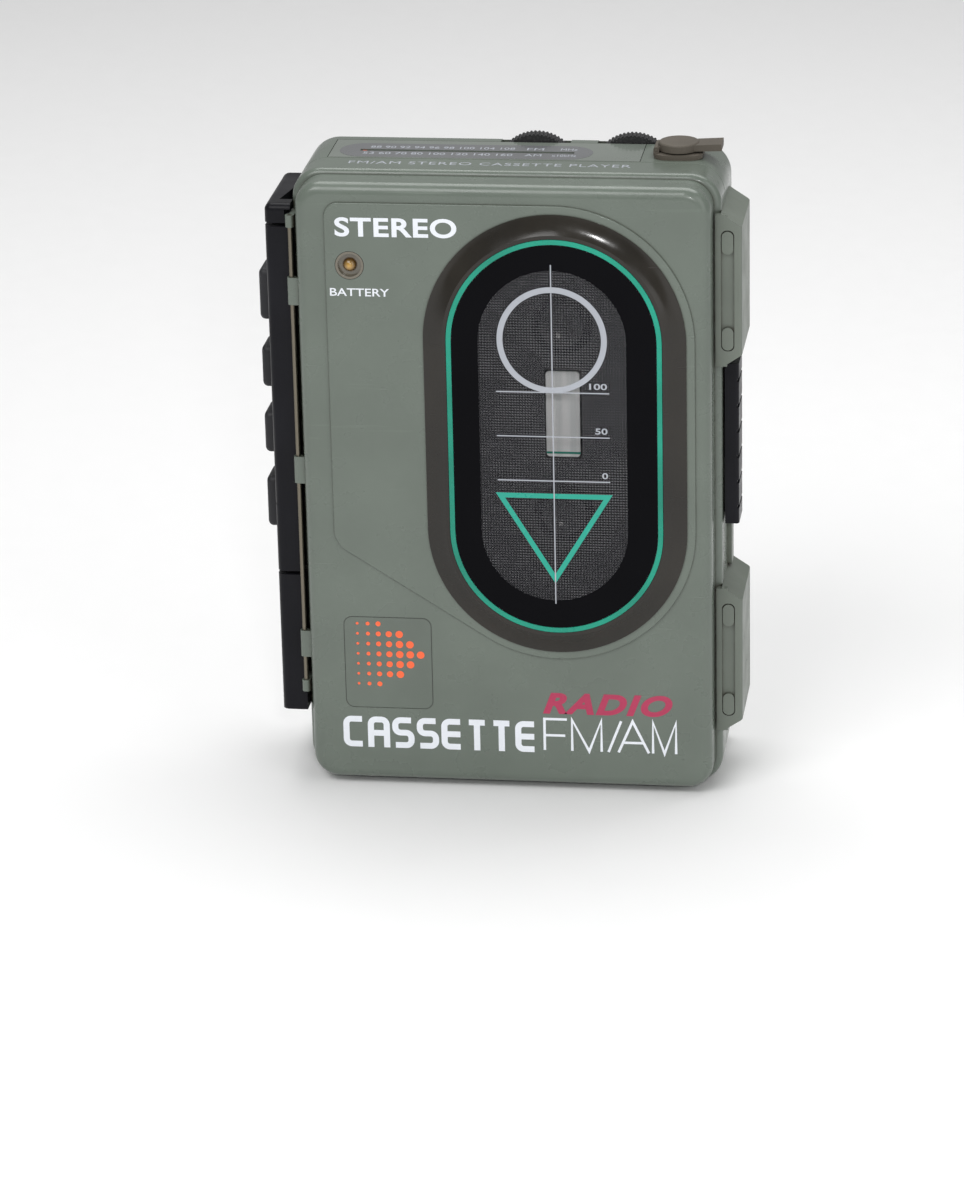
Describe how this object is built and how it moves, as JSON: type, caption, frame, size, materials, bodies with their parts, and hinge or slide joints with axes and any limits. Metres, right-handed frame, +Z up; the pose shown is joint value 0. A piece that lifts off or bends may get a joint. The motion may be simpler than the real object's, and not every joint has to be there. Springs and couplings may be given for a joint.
{
  "type": "cassette player",
  "caption": "Personal cassette player with radio: hinged door with a stadium window, side control rail, sliding catch, top dial and thumbwheels.",
  "frame": {"origin": "centre of the case's bottom face, midway between the case's front and back faces", "axes": "+Z up, -Y out of the cassette door, +X towards the catch side"},
  "size_m": [0.1038, 0.0385, 0.1405],
  "materials": {
    "case_plastic": "smooth moulded grey-green plastic",
    "seal_rubber": "soft black seal",
    "bezel_plastic": "polished dark brown plastic",
    "trim_plastic": "glossy teal plastic",
    "pane": "polished tinted pane with printing",
    "lamp_amber": "clear amber lens in a dished collar",
    "steel": "bright steel",
    "chassis_steel": "dark plated sheet steel",
    "spindle_plastic": "dark moulded nylon",
    "can_metal": "drawn metal cans",
    "copper": "wound enamelled copper",
    "belt_rubber": "square rubber belt",
    "white_card": "white reflector card",
    "board_green": "printed circuit laminate",
    "chip_black": "moulded chip bodies",
    "capacitor_blue": "sleeved capacitor cans",
    "ferrite": "sintered ferrite",
    "tray_plastic": "black moulded plastic",
    "wheel_plastic": "knurled black plastic",
    "dial_print": "grey insert with a printed scale",
    "pointer_plastic": "orange pointer",
    "cap_rubber": "soft brown-grey rubber",
    "rail_plastic": "satin black moulded plastic",
    "button_rubber": "soft black rubber",
    "guard_plastic": "satin moulded grey-green plastic",
    "cell_wrap": "printed cell sleeve",
    "contact_metal": "nickel-plated contacts"
  },
  "bodies": {
    "case": {"rear_case": "case_plastic", "front_case": "case_plastic", "gasket": "seal_rubber", "hinge_rod": "steel", "chassis": "chassis_steel", "motor": "can_metal", "drive_belt": "belt_rubber", "reflector": "white_card", "circuit_board": "board_green", "chips": "chip_black", "capacitors": "capacitor_blue", "tuner_cans": "can_metal", "rod_antenna": "ferrite", "antenna_coil": "copper", "tuning_capacitor": "tray_plastic", "volume_pot": "can_metal", "dial_panel": "dial_print", "jack_socket": "tray_plastic", "cap_base": "cap_rubber", "strap_bracket": "rail_plastic", "control_panel": "rail_plastic", "lower_bracket": "rail_plastic", "upper_guard": "guard_plastic", "lower_guard": "guard_plastic", "guard_pads": "guard_plastic", "latch_track": "guard_plastic", "battery_tray": "tray_plastic", "cell_front": "cell_wrap", "cell_rear": "cell_wrap", "battery_contacts": "contact_metal", "battery_springs": "contact_metal", "case_screws": "steel", "chassis_screws": "steel"},
    "door": {"lid": "case_plastic", "window_bezel": "bezel_plastic", "window_trim": "trim_plastic", "window_pane": "pane", "lamp_lens": "lamp_amber"},
    "latch": {"latch": "rail_plastic"},
    "button_record": {"button_record": "button_rubber"},
    "button_rewind": {"button_rewind": "button_rubber"},
    "button_forward": {"button_forward": "button_rubber"},
    "button_play": {"button_play": "button_rubber"},
    "head": {"head_carriage": "steel", "tape_head": "steel"},
    "pinch_arm": {"pinch_arm": "steel"},
    "pinch_roller": {"pinch_roller": "seal_rubber"},
    "flywheel": {"flywheel": "steel", "capstan": "steel"},
    "motor_pulley": {"motor_pulley": "copper"},
    "supply_spindle": {"supply_spindle": "spindle_plastic"},
    "takeup_spindle": {"takeup_spindle": "spindle_plastic"},
    "tuning_wheel": {"tuning_wheel": "wheel_plastic"},
    "dial_pointer": {"dial_pointer": "pointer_plastic"},
    "volume_wheel": {"volume_wheel": "wheel_plastic"},
    "jack_cap": {"jack_cap": "cap_rubber"},
    "battery_cover": {"battery_cover": "tray_plastic"},
    "function_switch": {"function_switch": "rail_plastic"},
    "band_switch": {"band_switch": "rail_plastic"}
  },
  "joints": [
    {"name": "door_hinge", "type": "hinge", "parent": "case", "child": "door", "pos_m": [-0.0452, -0.019, 0.0689], "axis": [0, 0, -1], "range_deg": [0, 100]},
    {"name": "latch_slide", "type": "slide", "parent": "case", "child": "latch", "axis": [0, 0, -1], "range_m": [0, 0.012]},
    {"name": "record_press", "type": "slide", "parent": "case", "child": "button_record", "axis": [1, 0, 0], "range_m": [0, 0.002], "stiffness_N_per_m": 150},
    {"name": "rewind_press", "type": "slide", "parent": "case", "child": "button_rewind", "axis": [1, 0, 0], "range_m": [0, 0.002], "stiffness_N_per_m": 150},
    {"name": "forward_press", "type": "slide", "parent": "case", "child": "button_forward", "axis": [1, 0, 0], "range_m": [0, 0.002], "stiffness_N_per_m": 150},
    {"name": "play_press", "type": "slide", "parent": "case", "child": "button_play", "axis": [1, 0, 0], "range_m": [0, 0.002], "stiffness_N_per_m": 150},
    {"name": "head_slide", "type": "slide", "parent": "case", "child": "head", "axis": [1, 0, 0], "range_m": [0, 0.004]},
    {"name": "pinch_swing", "type": "hinge", "parent": "case", "child": "pinch_arm", "pos_m": [-0.0305, -0.007, 0.048], "axis": [0, 1, 0], "range_deg": [0, 12]},
    {"name": "pinch_roller_spin", "type": "hinge", "parent": "pinch_arm", "child": "pinch_roller", "pos_m": [-0.0285, -0.01, 0.061], "axis": [0, 1, 0], "continuous": true},
    {"name": "flywheel_spin", "type": "hinge", "parent": "case", "child": "flywheel", "pos_m": [-0.0205, 0, 0.061], "axis": [0, 1, 0], "continuous": true},
    {"name": "motor_spin", "type": "hinge", "parent": "case", "child": "motor_pulley", "pos_m": [-0.026, 0, 0.108], "axis": [0, 1, 0], "continuous": true},
    {"name": "supply_spin", "type": "hinge", "parent": "case", "child": "supply_spindle", "pos_m": [0.0105, 0, 0.10125], "axis": [0, 1, 0], "continuous": true},
    {"name": "takeup_spin", "type": "hinge", "parent": "case", "child": "takeup_spindle", "pos_m": [0.0105, 0, 0.05875], "axis": [0, 1, 0], "continuous": true},
    {"name": "tuning_turn", "type": "hinge", "parent": "case", "child": "tuning_wheel", "pos_m": [0.0037, 0.0106, 0.1301], "axis": [0, 1, 0], "range_deg": [0, 270]},
    {"name": "pointer_slide", "type": "slide", "parent": "case", "child": "dial_pointer", "axis": [1, 0, 0], "range_m": [0, 0.044]},
    {"name": "volume_turn", "type": "hinge", "parent": "case", "child": "volume_wheel", "pos_m": [0.0245, 0.0106, 0.1301], "axis": [0, 1, 0], "range_deg": [0, 270]},
    {"name": "cap_hinge", "type": "hinge", "parent": "case", "child": "jack_cap", "pos_m": [0.0306, 0.0009, 0.13915], "axis": [0, -1, 0], "range_deg": [0, 110]},
    {"name": "battery_cover_slide", "type": "slide", "parent": "case", "child": "battery_cover", "axis": [1, 0, 0], "range_m": [0, 0.005]},
    {"name": "function_slide", "type": "slide", "parent": "case", "child": "function_switch", "axis": [1, 0, 0], "range_m": [0, 0.008]},
    {"name": "band_slide", "type": "slide", "parent": "case", "child": "band_switch", "axis": [1, 0, 0], "range_m": [0, 0.004]}
  ],
  "couplings": [
    {"joint": "head_slide", "follows": "play_press", "ratio": 2},
    {"joint": "pinch_swing", "follows": "play_press", "rad_per_m": 104.7},
    {"joint": "motor_spin", "follows": "flywheel_spin", "ratio": 4.8462},
    {"joint": "takeup_spin", "follows": "flywheel_spin", "ratio": 0.15},
    {"joint": "supply_spin", "follows": "flywheel_spin", "ratio": 0.15},
    {"joint": "pinch_roller_spin", "follows": "flywheel_spin", "ratio": -0.25},
    {"joint": "pointer_slide", "follows": "tuning_turn", "m_per_rad": 0.009336}
  ]
}
